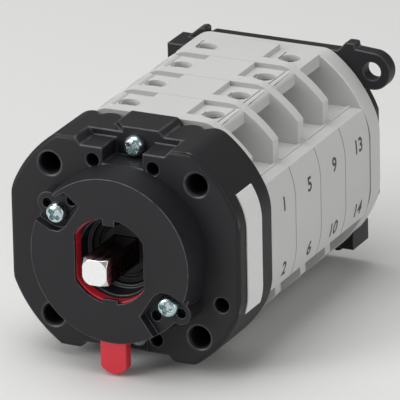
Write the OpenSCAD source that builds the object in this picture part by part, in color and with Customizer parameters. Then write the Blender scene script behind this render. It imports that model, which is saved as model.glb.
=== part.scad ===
// Changeover cam switch with four contact stages.
// The shaft turns about Y, the front faces -Y, and the rear mounting plane is y = 0.
// Inside the modules, depths are counted from the front face of the latch housing towards the rear.

/* [Mounting] */
// Spacing of the four panel holes, both ways
panel_sq = 36; // [34:0.5:38]
// Diameter of the panel holes
panel_hole_d = 5; // [3.5:0.1:5.8]
// Pitch circle of the two ear holes
ear_pcd = 66; // [65:0.5:72]
// Diameter of the ear holes
ear_hole_d = 4.3; // [3.2:0.1:4.8]
// Half width of an ear round its hole
ear_r = 4.5; // [4:0.1:6]
// Thickness of the mounting base and its ears
base_t = 3.4; // [2.6:0.1:6]

/* [Body] */
// Radius of the large arcs of the latch housing
body_r = 30.1; // [29.8:0.1:31]
// Radius of the large arcs of the contact blocks
block_r = 29; // [28.8:0.1:29.4]
// Half height of the contact blocks, over the pads
body_half_h = 26; // [25.6:0.1:27]
// Half height of the latch housing beside its pads
latch_half_h = 25.2; // [24.8:0.1:25.6]
// Half height of the end plate
end_half_h = 24.6; // [24.4:0.1:25.2]
// Half width at the sides of the contact blocks
block_half_w = 27.8; // [27:0.1:28.4]
// Half width of the black latch housing
latch_half_w = 28.2; // [27.4:0.1:29]
// Depth of the latch housing
latch_d = 17; // [14:0.5:24]
// Thickness of the grey end plate
end_t = 5.4; // [4.4:0.1:9]

/* [Stages] */
// Depth of one contact stage
pitch = 13.4; // [12.4:0.1:17]
// Thickness of the partition wall in front of each stage
fin_t = 2.8; // [2:0.1:3.2]
// Half width of the walls between the wire chambers
fin_half_w = 22.4; // [21:0.1:24]
// Height of the wire chamber floor above the shaft axis
ledge_z = 13; // [12:0.1:14]
// Distance of the terminal screws from the middle, along X
screw_x = 10.4; // [10.2:0.1:10.8]
// Diameter of the screwdriver holes
access_d = 5; // [4.4:0.1:6]
// Diameter of the two tie bolts
tie_d = 3; // [2.4:0.1:3.6]
// Height of the tie bolts above the shaft axis
tie_z = 22.5; // [21.5:0.1:23]

/* [Shaft and cams] */
// Side of the square shaft
shaft_sq = 6; // [4.5:0.1:6.6]
// Length of the shaft in front of the latch housing
shaft_out = 15; // [12:0.5:30]
// Cam radius under the contacts in the middle position
cam_r = 8; // [7.8:0.1:8.4]
// Travel of a contact either way
lift = 1.5; // [1.1:0.1:1.8]
// Shaft turn from the middle position to either side, in degrees
throw_deg = 60; // [45:5:60]
// Radius of the cam hubs that turn in the partition walls
hub_r = 5.6; // [5.4:0.1:6.4]

/* [Collar] */
// Radius of the collar at its front rim
collar_r = 19.3; // [19:0.1:20.5]
// Radius of the collar at the housing
collar_base_r = 20.2; // [19.6:0.1:20.3]
// Height of the collar
collar_h = 7.7; // [7:0.1:10]
// Radius of the opening in the collar
opening_r = 10; // [9.4:0.1:10.4]
// Half distance between the flats of the opening
opening_flat = 8.4; // [7.8:0.1:8.8]
// Thickness of the front wall of the collar
collar_wall = 0.8; // [0.7:0.1:1.2]
// Distance of the collar screws from the shaft axis
collar_screw_r = 16.2; // [16:0.1:16.8]
// Direction of the upper collar screw, in degrees
collar_screw_a = 146; // [144:1:148]

/* [Release slide] */
// Thickness of the release slide
slide_t = 2.6; // [2:0.1:3]
// Width of the tongue that sticks out below
tongue_w = 6.4; // [5:0.1:7.4]
// Height of the tongue's tip below the shaft axis
tongue_z = 27.1; // [25:0.1:32]
// Travel of the release slide
slide_travel = 1.8; // [1:0.1:2]

/* [Clearances] */
// Radial running clearance of the turning parts
running = 0.06; // [0.04:0.01:0.1]
// Gap beside the sliding parts
sliding = 0.2; // [0.15:0.05:0.3]
// Gap left between parts that only just touch in use
touch_gap = 0.2; // [0.15:0.05:0.3]

/* [Hidden] */
$fn = 64;
eps = 0.02;
stages = 4;
body_depth = latch_d + stages * pitch + end_t + base_t;
end_y = latch_d + stages * pitch;
base_y = end_y + end_t;

// contact mechanism, seen along the shaft, for the right-hand side
roof_t = 1.6;
roof_z = body_half_h - 1.2;
pad_half_w = 5.7;
bar_x0 = 13;
bar_x1 = 15.5;
bar_top = roof_z + 0.3;
bar_h = 3.3;
access_v = (fin_t + pitch) / 2 + 0.2;
wall_root_t = 3.9;
wall_root_x = 9;
block_fillet_r = 5;
slit_w = 0.35;
cam_front = 0.5;
cam_cavity_r = cam_r + lift * 1.25 + 0.6;
nose_r = 1.5;
nose_x = cam_r + touch_gap;
plunger_half_h = 3;
bridge_t = 1;
tip_t = 0.6;
tip_r = 1.4;
tip_z = 7;
bridge_half_l = 8.4;
bridge_w = 5;
terminal_t = 1;
terminal_w = 6.4;
leg_x0 = 13.1;
leg_x1 = leg_x0 + terminal_t;
fixed_tip_x = leg_x1 + tip_t;
bridge_x0 = fixed_tip_x + touch_gap + lift + tip_t;
bridge_x1 = bridge_x0 + bridge_t;
chamber_x0 = leg_x0 - 0.3;
chamber_x1 = bridge_x1 + lift + 0.35;
chamber_half_h = 9.6;
plunger_x1 = bridge_x1 + 2;
side_wall = 1.6;
spring_x1 = block_half_w - side_wall;
post_r = 1.2;
post_x1 = spring_x1 - lift - 0.4;
contact_wire_d = 0.5;
contact_coil_r = 2.1;
contact_turns = 5;

// terminal screws
screw_d = 3;
screw_head_r = 2.7;
screw_head_h = 2.2;
washer_sq = 6.4;
washer_t = 1;
screw_len = 5.4;

// latch housing
front_wall = 3.4;
latch_cavity_r = 17.2;
wheel_front = front_wall + 1.2;
wheel_t = 6;
wheel_r = 10;
wheel_lobes = 6;
wheel_hub_r = 8;
hub_front = 0.8;
hub_groove_r0 = 5.9;
hub_groove_r1 = 6.7;
hub_groove_d = 0.8;
valley_r = 2.3;
leaf_t = 0.5;
leaf_w = 4;
boss_r = 13;
boss_bore_r = 9;
small_hole_d = 3;
small_hole_x = 7.35;
small_hole_z = 20.2;
side_hole_d = 3.4;
housing_fillet_r = 5;
side_fillet_r = 14;
hole_chamfer = 0.4;
notch_half_w = 4.9;
notch_d = 7;
recess_half_w = 10.3;
recess_slope = 1.4;
recess_z = latch_half_h - 1.7;
side_hole_x = 23.6;
side_hole_z = -9.5;
scallop_r = 2.9;
scallop_d = 1.8;
label_t = 0.25;
label_glue_t = 0.04;
label_front = 3.6;
label_rear = 11.2;
label_low = -12.2;
label_high = 15.6;
pad_top = body_half_h + 0.5;
pad_slope = 1.2;
edge_r = 1.2;

// collar and slide
slide_front = -collar_h + collar_wall + 0.1;
slide_rear = slide_front + slide_t;
boss_h = -slide_rear - 0.1;
slide_r = 10.9;
slide_half_w = 10.2;
slide_hole_r = 9.7;
slide_hole_flat = 8.4;
collar_screw_d = 3;
pan_head_r = 2.5;
pan_head_h = 2.3;
lobe_floor = collar_h - 2.5;
lobe_x = 19.2;
lobe_r = 2.6;
// u, v and radius of the two small holes beside each collar screw
lobe_small_holes = [[15.15, -4.35, 1.25], [19.4, 0.2, 1.15]];
lobe_hole_d = 2.4;
release_wire_d = 0.4;
release_coil_r = 0.9;
release_spring_x = 5.2;
release_spring_l = 4.6;
shoulder_gap = 0.55;

// end plate and mounting base
end_r = block_r + 0.1;
end_half_w = 28;
base_r = 28.2;
base_half_w = 26.3;
base_half_h = end_half_h - 0.4;
ear_a = 37.8;
hook_x = 23.3;
hook_w = 6;
hook_low = 17;
hook_high = 22.2;
hook_l = 5;

// colours
black = "#3c3c3d";
grey = "#c4c5c3";
red = "#e13e4e";
zinc = "#b9c4c4";
steel = "#d6d8d8";
brass = "#c9a24a";
copper = "#b87850";
white = "#dadad8";
cream = "#d8d2b8";
dark_grey = "#55585a";

function stage_y(k) = latch_d + (k - 1) * pitch;

// Extrudes a drawing of the XZ plane from depth y0 to depth y1.
module slab(y0, y1) {
    translate([0, y1 - body_depth, 0])
        rotate([90, 0, 0])
            linear_extrude(y1 - y0)
                children();
}

// Repeats a shape above and below the shaft axis.
module up_and_down() {
    children();
    mirror([0, 0, 1]) children();
}

// Repeats a shape on both sides of the shaft axis.
module both_sides() {
    children();
    mirror([1, 0, 0]) children();
}

// Turns a shape half a turn about the shaft axis.
module and_opposite() {
    children();
    rotate([0, 180, 0]) children();
}

// A round bar or bore along the shaft direction.
module along_y(x, z, r, y0, y1) {
    slab(y0, y1) translate([x, z]) circle(r);
}

// Four large arcs between flats, with a fillet at each end of an arc.
module section_2d(r, half_w, half_h, side_r, top_r) {
    side_c = [half_w - side_r, sqrt(pow(r - side_r, 2) - pow(half_w - side_r, 2))];
    top_c = [sqrt(pow(r - top_r, 2) - pow(half_h - top_r, 2)), half_h - top_r];
    square([2 * half_w, 2 * side_c[1]], center = true);
    square([2 * top_c[0], 2 * half_h], center = true);
    for (sx = [-1, 1], sz = [-1, 1]) scale([sx, sz]) {
        translate(side_c) circle(side_r, $fn = 128);
        translate(top_c) circle(top_r);
        intersection() {
            circle(r, $fn = 128);
            polygon([[0, 0], side_c * 2 * r / norm(side_c), top_c * 2 * r / norm(top_c)]);
        }
    }
}

// The sides of a contact block bulge, and their upper and lower parts curve in.
module block_sides_2d() {
    flat_h = 5;
    corner_r = 20;
    intersection() {
        square([2 * block_half_w, 2 * ledge_z], center = true);
        union() {
            square([2 * block_half_w - 2 * corner_r, 2 * ledge_z], center = true);
            for (sx = [-1, 1], sz = [-1, 1])
                translate([sx * (block_half_w - corner_r), sz * flat_h]) circle(corner_r, $fn = 128);
            square([2 * block_half_w, 2 * flat_h], center = true);
        }
    }
}

// The partition wall in front of a stage.
module wall_2d() {
    block_sides_2d();
    intersection() {
        section_2d(block_r, block_half_w, body_half_h, side_fillet_r, block_fillet_r);
        square([2 * fin_half_w, 3 * block_r], center = true);
    }
}

// What stands behind the partition wall: core, web, roofs and bars.
// The last block has flat bars, level with its roofs.
module core_2d(k) {
    block_sides_2d();
    square([2 * pad_half_w, 2 * body_half_h], center = true);
    for (sx = [-1, 1], sz = [-1, 1]) scale([sx, sz]) {
        translate([0, roof_z - roof_t]) square([bar_x0 + eps, roof_t]);
        if (k < stages)
            bar_2d();
        else
            translate([bar_x0, bar_top - bar_h]) square([bar_x1 - bar_x0, roof_z - bar_top + bar_h]);
    }
}

// A bar beside the screwdriver hole, rounded on top.
module bar_2d() {
    w = bar_x1 - bar_x0;
    translate([bar_x0, bar_top - bar_h]) square([w, bar_h - w / 2]);
    translate([bar_x0 + w / 2, bar_top - w / 2]) circle(w / 2);
}

module contact_block(k) {
    y0 = stage_y(k);
    y1 = y0 + pitch;
    color(grey) difference() {
        union() {
            slab(y0, y0 + fin_t) wall_2d();
            slab(y0 + fin_t - eps, y1) core_2d(k);
            ledge_ribs(y0 + fin_t, y1);
            up_and_down() wall_root(y0);
        }
        along_y(0, 0, hub_r + running, y0 - 1, y1);
        along_y(0, 0, cam_cavity_r, y0 + fin_t, y1 + 1);
        both_sides() contact_cavity(y0 + fin_t + 0.6, y1 + 1);
        up_and_down() {
            along_y(0, tie_z, tie_d / 2 + sliding, y0 - 1, y1 + 1);
            both_sides() terminal_cuts(y0);
        }
        and_opposite() roof_slits(k);
    }
}

// The partition wall is thicker beside the pad, from the roof up.
module wall_root(y0) {
    translate([0, y0 - body_depth, roof_z - roof_t]) linear_extrude(body_half_h - roof_z + roof_t)
        polygon([
            [-bar_x0, fin_t - eps], [bar_x0, fin_t - eps],
            [wall_root_x, wall_root_t], [-wall_root_x, wall_root_t]
        ]);
}

// A narrow slit beside each screwdriver hole. The last block's slits are longer.
module roof_slits(k) {
    slit_l = k < stages ? 2.4 : 4.8;
    slit_y = stage_y(k) + access_v - 1;
    for (sx = [-1, 1])
        translate([sx * screw_x - access_d / 2 - slit_w / 2, slit_y - body_depth, roof_z - 0.8])
            cube([slit_w, slit_l, 2]);
}

// Low ribs along the chamber floors, in line with the outer edges of the walls.
module ledge_ribs(y0, y1) {
    up_and_down() both_sides()
        slab(y0 - eps, y1) translate([fin_half_w, ledge_z - 0.5]) square([0.7, 0.9]);
}

// The room for one plunger, its bridge and its spring.
module contact_cavity(y0, y1) {
    channel = plunger_half_h + sliding;
    slab(y0, y1) {
        translate([cam_r, -channel]) square([spring_x1 - cam_r, 2 * channel]);
        translate([chamber_x0, -chamber_half_h]) square([chamber_x1 - chamber_x0, 2 * chamber_half_h]);
    }
}

// Screwdriver hole, screw hole and the slot for the leg of the terminal.
module terminal_cuts(y0) {
    v = y0 + access_v;
    translate([screw_x, v - body_depth, 0]) {
        translate([0, 0, ledge_z]) cylinder(d = access_d, h = body_half_h);
        translate([0, 0, ledge_z - screw_len]) cylinder(d = screw_d + 2 * running, h = screw_len + 1);
    }
    slab(v - bridge_w / 2 - sliding, v + bridge_w / 2 + sliding)
        translate([leg_x0 - 0.1, tip_z]) square([terminal_t + 0.2, ledge_z - tip_z + 1]);
}

// Radius of the cam at an angle counted anticlockwise from +X, seen from the front.
// It falls evenly over the right-hand side and rises evenly over the left-hand side.
function cam_radius(a) =
    let (
        reach = 75,
        t = lift / throw_deg,
        turned = a > 180 ? a - 360 : a,
        right = abs(turned) <= 90,
        from_side = right ? turned : (turned > 0 ? turned - 180 : turned + 180)
    )
    right
        ? cam_r - t * max(-reach, min(reach, from_side))
        : cam_r + t * max(-reach, min(reach, from_side));

module cam_2d() {
    step = 3;
    polygon([for (a = [0:step:360 - step]) cam_radius(a) * [cos(a), sin(a)]]);
}

module cam(k) {
    y0 = stage_y(k);
    color(cream) difference() {
        union() {
            slab(y0 + fin_t + cam_front, y0 + pitch - cam_front) cam_2d();
            along_y(0, 0, hub_r, y0 + cam_front / 2, y0 + fin_t + 1);
        }
        slab(y0 - 1, y0 + pitch + 1) square(shaft_sq + 2 * running, center = true);
    }
}

// Right-hand plunger: a nose on the cam, a window for the bridge and a post for the spring.
module plunger_shape(k) {
    v = stage_y(k) + access_v;
    half_d = bridge_w / 2 + 1.2;
    difference() {
        union() {
            slab(v - half_d, v + half_d) {
                translate([nose_x + nose_r, 0]) circle(nose_r);
                polygon([
                    [nose_x + nose_r, -nose_r], [nose_x + nose_r, nose_r],
                    [nose_x + 3, plunger_half_h], [nose_x + 3, -plunger_half_h]
                ]);
                translate([nose_x + 3 - eps, -plunger_half_h])
                    square([plunger_x1 - nose_x - 3, 2 * plunger_half_h]);
            }
            translate([plunger_x1 - 1, v - body_depth, 0])
                rotate([0, 90, 0]) cylinder(r = post_r, h = post_x1 - plunger_x1 + 1);
        }
        slab(v - bridge_w / 2 - eps, v + bridge_w / 2 + eps)
            translate([bridge_x0, -plunger_half_h - 1]) square([bridge_t, 2 * plunger_half_h + 2]);
    }
}

module plunger(k, side) {
    color(dark_grey) on_side(side) plunger_shape(k);
}

// The left-hand parts mirror the right-hand ones.
module on_side(side) {
    mirror([side < 0 ? 1 : 0, 0, 0]) children();
}

// Moving contact: a copper strip with a silver tip at each end.
module bridge(k, side) {
    v = stage_y(k) + access_v;
    color(copper) on_side(side) {
        slab(v - bridge_w / 2, v + bridge_w / 2)
            translate([bridge_x0, -bridge_half_l]) square([bridge_t, 2 * bridge_half_l]);
        up_and_down() tip(bridge_x0 - tip_t, v);
    }
}

module tip(x, v) {
    translate([x, v - body_depth, tip_z]) rotate([0, 90, 0]) cylinder(r = tip_r, h = tip_t + eps);
}

// Four terminals of a stage: a strip under the screw, a leg into the block and a fixed contact.
module terminals(k) {
    v = stage_y(k) + access_v;
    inner_x = pad_half_w + 0.4;
    color(brass) up_and_down() both_sides() {
        difference() {
            slab(v - terminal_w / 2, v + terminal_w / 2)
                translate([inner_x, ledge_z]) square([leg_x1 - inner_x, terminal_t]);
            translate([screw_x, v - body_depth, ledge_z - 1]) cylinder(d = screw_d + 2 * running, h = 3);
        }
        slab(v - bridge_w / 2, v + bridge_w / 2)
            translate([leg_x0, tip_z - tip_r]) square([terminal_t, ledge_z - tip_z + tip_r + eps]);
        tip(leg_x1 - eps, v);
    }
}

module terminal_screws(k) {
    v = stage_y(k) + access_v;
    head_z = ledge_z + terminal_t + washer_t;
    color(zinc) up_and_down() both_sides()
        translate([screw_x, v - body_depth, 0]) difference() {
            union() {
                translate([0, 0, ledge_z - screw_len + 0.5])
                    cylinder(d = screw_d, h = head_z - ledge_z + screw_len);
                translate([0, 0, head_z]) pan_head(screw_head_r, screw_head_h);
            }
            translate([0, 0, head_z + screw_head_h - 1.1]) cross_recess(screw_head_r);
        }
}

// A head with a domed top, standing on z = 0.
module pan_head(r, h) {
    rotate_extrude() intersection() {
        square([r, h]);
        union() {
            square([r - h / 2, h]);
            translate([r - h / 2, h / 2]) circle(h / 2);
            square([r, h / 2]);
        }
    }
}

module cross_recess(r) {
    for (a = [0, 90]) rotate([0, 0, a]) translate([-0.6 * r, -0.35, 0]) cube([1.2 * r, 0.7, 2]);
}

module clamp_washers(k) {
    v = stage_y(k) + access_v;
    color(zinc) up_and_down() both_sides()
        translate([screw_x, v - body_depth, ledge_z + terminal_t]) difference() {
            translate([-washer_sq / 2, -washer_sq / 2, 0]) cube([washer_sq, washer_sq, washer_t]);
            translate([0, 0, -1]) cylinder(d = screw_d + 2 * running, h = washer_t + 2);
        }
}

// A helical spring along +Z from z = 0, as rings of points swept along the helix.
module coil(r, wire_d, length, turns) {
    per_turn = 14;
    sides = 6;
    rings = turns * per_turn;
    rise = length - wire_d;
    points = [
        for (i = [0:rings], j = [0:sides - 1])
            let (a = 360 * i / per_turn, b = 360 * j / sides, rr = r + wire_d / 2 * cos(b))
            [rr * cos(a), rr * sin(a), wire_d / 2 + rise * i / rings + wire_d / 2 * sin(b)]
    ];
    side_faces = [
        for (i = [0:rings - 1], j = [0:sides - 1])
            let (n = (j + 1) % sides)
            [i * sides + j, (i + 1) * sides + j, (i + 1) * sides + n, i * sides + n]
    ];
    caps = [
        [for (j = [0:sides - 1]) j],
        [for (j = [sides - 1:-1:0]) rings * sides + j]
    ];
    polyhedron(points, concat(side_faces, caps));
}

module contact_spring(k, side) {
    v = stage_y(k) + access_v;
    color(steel) on_side(side)
        translate([plunger_x1 + eps, v - body_depth, 0])
            rotate([0, 90, 0])
                coil(contact_coil_r, contact_wire_d, spring_x1 - plunger_x1 - 2 * eps, contact_turns);
}

// Outline with rounded front corners, for a body that runs from depth 0 to depth d.
module rounded_front_2d(half, d, r) {
    translate([-half, r]) square([2 * half, d - r]);
    translate([-half + r, 0]) square([2 * (half - r), d]);
    for (s = [-1, 1]) translate([s * (half - r), r]) circle(r);
}

// A body with the large cross-section, whose front edges are rounded all round.
module rounded_body(r, half_w, half_h, d) {
    big = 2 * r;
    translate([0, -body_depth, 0]) intersection() {
        rotate([-90, 0, 0]) rotate_extrude($fn = 128) intersection() {
            rounded_front_2d(r, d, edge_r);
            square([big, d]);
        }
        translate([0, 0, -big / 2]) linear_extrude(big) rounded_front_2d(half_w, d, edge_r);
        translate([-big / 2, 0, 0]) rotate([90, 0, 90]) linear_extrude(big)
            rotate(-90) rounded_front_2d(half_h, d, edge_r);
        rotate([-90, 0, 0]) linear_extrude(d) section_2d(r, half_w, half_h, side_fillet_r, housing_fillet_r);
    }
}

module latch_housing() {
    color(black) difference() {
        union() {
            rounded_body(body_r, latch_half_w, latch_half_h, latch_d);
            along_y(0, 0, boss_r, -boss_h, 1);
            and_opposite() top_pad();
        }
        along_y(0, 0, latch_cavity_r, front_wall, latch_d + 1);
        along_y(0, 0, wheel_hub_r + running, -1, front_wall + 1);
        along_y(0, 0, boss_bore_r, -boss_h - 1, 0);
        panel_holes();
        up_and_down() both_sides() along_y(small_hole_x, small_hole_z, small_hole_d / 2, -1, 7);
        along_y(side_hole_x, side_hole_z, side_hole_d / 2, -1, 8);
        up_and_down() top_cuts();
        and_opposite() collar_screw_bore();
    }
}

module panel_holes() {
    for (sx = [-1, 1], sz = [-1, 1]) {
        along_y(sx * panel_sq / 2, sz * panel_sq / 2, panel_hole_d / 2, -1, 12);
        translate([sx * panel_sq / 2, -body_depth - eps, sz * panel_sq / 2]) rotate([-90, 0, 0])
            cylinder(r1 = panel_hole_d / 2 + hole_chamfer, r2 = panel_hole_d / 2, h = hole_chamfer);
    }
}

// The raised pad over the tie bolt: sloped sides, and one front corner cut off.
module top_pad() {
    foot = pad_half_w + pad_slope;
    difference() {
        slab(notch_d, latch_d) polygon([
            [-foot, latch_half_h - 2], [-foot, latch_half_h], [-pad_half_w, pad_top],
            [pad_half_w, pad_top], [foot, latch_half_h], [foot, latch_half_h - 2]
        ]);
        translate([0, notch_d - body_depth, latch_half_h]) linear_extrude(5)
            polygon([[-3.4, -1], [-3.4, 0], [-5.6, 2.6], [-foot - 1, 4.4], [-foot - 1, -1]]);
    }
}

// The bolt's notch, the recesses beside it and the scalloped rear edge.
module top_cuts() {
    recess_h = latch_half_h - recess_z;
    slab(-1, notch_d) {
        translate([-notch_half_w, tie_z - pan_head_r - 0.15]) square([2 * notch_half_w, 10]);
        polygon([
            [-recess_half_w, recess_z], [recess_half_w, recess_z],
            [recess_half_w + 2 * recess_slope, recess_z + 2 * recess_h],
            [-recess_half_w - 2 * recess_slope, recess_z + 2 * recess_h]
        ]);
    }
    along_y(0, tie_z, tie_d / 2 + sliding, 0, latch_d + 1);
    difference() {
        slab(latch_d - scallop_d, latch_d + 1) both_sides_2d()
            translate([pad_half_w + pad_slope, latch_half_h - 1]) square([2.6 * scallop_r, 4]);
        both_sides() for (i = [0, 1])
            translate([pad_half_w + (1.5 + 1.9 * i) * scallop_r, latch_d - scallop_r - body_depth, 0])
                cylinder(r = scallop_r, h = 40);
    }
}

module both_sides_2d() {
    children();
    mirror([1, 0]) children();
}

module collar_screw_bore() {
    rotate([0, -collar_screw_a, 0]) along_y(collar_screw_r, 0, collar_screw_d / 2 + running, -1, 6);
}

// The opening of the collar: a circle with two flats and a small tab above and below.
module opening_2d() {
    difference() {
        intersection() {
            circle(opening_r);
            square([2 * opening_flat, 3 * opening_r], center = true);
        }
        translate([-1.45, opening_r - 1.6]) square([2.9, 3]);
        translate([-1.85, -opening_r - 2]) square([3.7, 3.1]);
    }
}

// Room for the release slide over its whole travel, with the springs' wells.
module slide_room_2d() {
    w = 2 * (slide_half_w + sliding);
    intersection() {
        union() {
            circle(slide_r + sliding);
            translate([0, -slide_travel]) circle(slide_r + sliding);
            translate([-w / 2, -slide_travel]) square([w, slide_travel]);
        }
        square([w, 60], center = true);
    }
}

module front_collar() {
    color(black) difference() {
        union() {
            translate([0, -body_depth, 0]) rotate([90, 0, 0])
                cylinder(r1 = collar_base_r, r2 = collar_r, h = collar_h, $fn = 128);
            and_opposite() screw_lobe();
        }
        slab(-collar_h - 1, 1) opening_2d();
        along_y(0, 0, boss_r + sliding, -boss_h - 0.05, 1);
        slab(slide_front - 0.1, slide_rear + 0.1) slide_room_2d();
        slab(slide_front - 0.1, slide_rear + 0.1)
            translate([-tongue_w / 2 - sliding, -40]) square([tongue_w + 2 * sliding, 40]);
        slab(slide_front - 0.1, slide_rear + 0.1) spring_wells_2d();
        along_y(0, 0, opening_r, slide_front, slide_rear + 1);
        lobe_recesses();
        and_opposite() lobe_holes();
    }
}

module spring_wells_2d() {
    w = 2 * release_coil_r + release_wire_d + 0.3;
    well_z = slide_shoulder_z() - release_spring_l;
    for (sx = [-1, 1]) translate([sx * release_spring_x - w / 2, well_z - eps]) square([w, release_spring_l]);
}

// Height of the slide's lower edge where the springs push.
function slide_shoulder_z() = -sqrt(pow(slide_r, 2) - pow(release_spring_x, 2)) - shoulder_gap;

// A low lobe beside the rim, at the foot of the recess round a collar screw.
module screw_lobe() {
    rotate([0, -collar_screw_a, 0]) along_y(lobe_x, 0, lobe_r, -lobe_floor, 0);
}

// The screw's hole and two small blind holes in the floor of the recess.
module lobe_holes() {
    rotate([0, -collar_screw_a, 0]) {
        along_y(collar_screw_r, 0, collar_screw_d / 2 + running, -lobe_floor - 1, 1);
        for (hole = lobe_small_holes)
            along_y(hole[0], hole[1], hole[2], -lobe_floor - 1, -lobe_floor + lobe_hole_d);
    }
}

// The recesses round the collar screws. The lower one also opens through the rim.
module lobe_recesses() {
    inner = [[12.6, -5.8], [12.6, 0.8], [13.3, 2.5], [15, 3.5], [18.2, 3.9], [24, 3.9]];
    rotate([0, -collar_screw_a, 0]) slab(-collar_h - 1, -lobe_floor)
        polygon(concat(inner, [[24, -3.7], [18.4, -3.7], [17.2, -6.2]]));
    rotate([0, 180 - collar_screw_a, 0]) slab(-collar_h - 1, -lobe_floor)
        polygon(concat(inner, [[24, -10], [17.5, -7.6]]));
}

module collar_screws() {
    color(zinc) and_opposite() rotate([0, -collar_screw_a, 0])
        translate([collar_screw_r, -lobe_floor - body_depth, 0]) rotate([90, 0, 0]) difference() {
            union() {
                pan_head(pan_head_r, pan_head_h);
                translate([0, 0, -lobe_floor - 5]) cylinder(d = collar_screw_d, h = lobe_floor + 5.5);
            }
            translate([0, 0, pan_head_h - 1]) rotate([0, 0, 20]) cross_recess(pan_head_r);
        }
}

// The slide: a ring round the opening, two ears for its springs and a tongue.
module release_slide() {
    color(red) difference() {
        slab(slide_front, slide_rear) {
            intersection() {
                circle(slide_r);
                square([2 * slide_half_w, 3 * slide_r], center = true);
            }
            translate([-tongue_w / 2, -tongue_z + tongue_w / 3])
                square([tongue_w, tongue_z - tongue_w / 3 - slide_hole_r]);
            intersection() {
                translate([-tongue_w / 2, -tongue_z]) square([tongue_w, tongue_w]);
                translate([0, -tongue_z + tongue_w * 0.6]) circle(tongue_w * 0.6);
            }
        }
        slab(slide_front - 1, slide_rear + 1) intersection() {
            circle(slide_hole_r);
            square([2 * slide_hole_flat, 3 * slide_r], center = true);
        }
    }
}

module release_springs() {
    well_z = slide_shoulder_z() - release_spring_l;
    color(steel) both_sides()
        translate([release_spring_x, (slide_front + slide_rear) / 2 - body_depth, well_z])
            coil(release_coil_r, release_wire_d, release_spring_l, 5);
}

// A star wheel with one valley every 60 degrees, and a hub in the front wall.
module latch_wheel() {
    color(black) difference() {
        union() {
            slab(wheel_front, wheel_front + wheel_t) difference() {
                circle(wheel_r, $fn = 96);
                for (i = [0:wheel_lobes - 1]) rotate(i * 360 / wheel_lobes + 90)
                    translate([wheel_r + valley_r * 0.35, 0]) circle(valley_r);
            }
            along_y(0, 0, wheel_hub_r, hub_front, wheel_front + 0.5);
        }
        slab(-1, latch_d) square(shaft_sq + 2 * running, center = true);
        slab(-1, hub_front + hub_groove_d) difference() {
            circle(hub_groove_r1);
            circle(hub_groove_r0);
        }
    }
}

// Two leaf springs: each spans the cavity and dips into a valley of the wheel.
module latch_springs() {
    v = wheel_front + wheel_t / 2;
    color(steel) up_and_down() slab(v - leaf_w / 2, v + leaf_w / 2) leaf_2d();
}

module leaf_2d() {
    dip_r = valley_r - touch_gap;
    dip_z = wheel_r + valley_r * 0.35;
    end_x = 12.6;
    both_sides_2d() {
        translate([dip_r - leaf_t, dip_z]) square([end_x - dip_r + leaf_t, leaf_t]);
        translate([end_x - leaf_t, dip_z - 1.2]) square([leaf_t, 1.4]);
    }
    difference() {
        translate([0, dip_z]) circle(dip_r);
        translate([0, dip_z]) circle(dip_r - leaf_t);
        translate([-5, dip_z + eps]) square([10, 5]);
    }
}

// The square bar, chamfered in front and turned round where it runs in the end plate.
module shaft() {
    journal = shaft_sq / 2 - 0.1;
    color(steel) {
        intersection() {
            slab(-shaft_out, end_y - 0.3) square(shaft_sq, center = true);
            translate([0, -body_depth, 0]) rotate([-90, 0, 0]) {
                translate([0, 0, -shaft_out])
                    cylinder(r1 = shaft_sq * 0.53, r2 = shaft_sq, h = shaft_sq * 0.47);
                translate([0, 0, -shaft_out + shaft_sq * 0.47])
                    cylinder(r = shaft_sq, h = body_depth + shaft_out);
            }
        }
        along_y(0, 0, journal, end_y - 0.5, end_y + end_t - 1.6);
    }
}

// Two long pan-head screws that hold the housing, the blocks and the end plate together.
module tie_bolts() {
    color(zinc) for (sz = [-1, 1])
        translate([0, notch_d - body_depth, sz * tie_z]) rotate([90, 0, 0]) difference() {
            union() {
                pan_head(pan_head_r, pan_head_h);
                translate([0, 0, notch_d - end_y - end_t + 1])
                    cylinder(d = tie_d, h = end_y + end_t - notch_d - 0.5);
            }
            translate([0, 0, pan_head_h - 1]) rotate([0, 0, 45]) cross_recess(pan_head_r);
        }
}

// The outline of the housing's side, grown by t.
module label_side_2d(t) {
    section_2d(body_r + t, latch_half_w + t, latch_half_h + t, side_fillet_r + t, housing_fillet_r + t);
}

module label_strip() {
    color(white) intersection() {
        slab(label_front, label_rear) difference() {
            label_side_2d(label_glue_t + label_t);
            label_side_2d(label_glue_t);
        }
        translate([0, -body_depth, label_low]) cube([body_r + 1, latch_d, label_high - label_low]);
    }
}

// The end plate carries the shaft's rear journal and the threads of the tie bolts.
module end_plate() {
    color(grey) difference() {
        slab(end_y, base_y) section_2d(end_r, end_half_w, end_half_h, side_fillet_r, block_fillet_r);
        along_y(0, 0, shaft_sq / 2 - 0.1 + running, end_y - 1, base_y - 1.2);
        up_and_down() along_y(0, tie_z, tie_d / 2 + running, end_y - 1, base_y - 0.6);
    }
}

// The base: a plate with two ears, bumps on its long edges and two corner hooks.
module base_2d() {
    intersection() {
        circle(base_r, $fn = 128);
        square([2 * base_half_w, 2 * base_half_h], center = true);
    }
    for (s = [0, 180]) rotate(s) {
        ear_2d();
        hook_2d();
        polygon([[-20.5, 18], [-20.2, 22.6], [-17.6, 24.8], [-16.6, 25.1], [-15.8, 24.7], [-15.8, 18]]);
    }
}

module hook_2d() {
    translate([-hook_x, hook_low]) square([hook_w, hook_high - hook_low]);
}

module ear_2d() {
    hole = ear_pcd / 2 * [cos(ear_a), sin(ear_a)];
    translate(hole) circle(ear_r);
    polygon([
        hole + [0, -ear_r], [hole[0] - 10, hole[1] - ear_r], [12, 20], [12, base_half_h], [17.6, base_half_h],
        [19.5, base_half_h + 2.1], [21.7, base_half_h + 2.1], [22, hole[1] + ear_r + 0.3], hole + [0, ear_r]
    ]);
}

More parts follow.
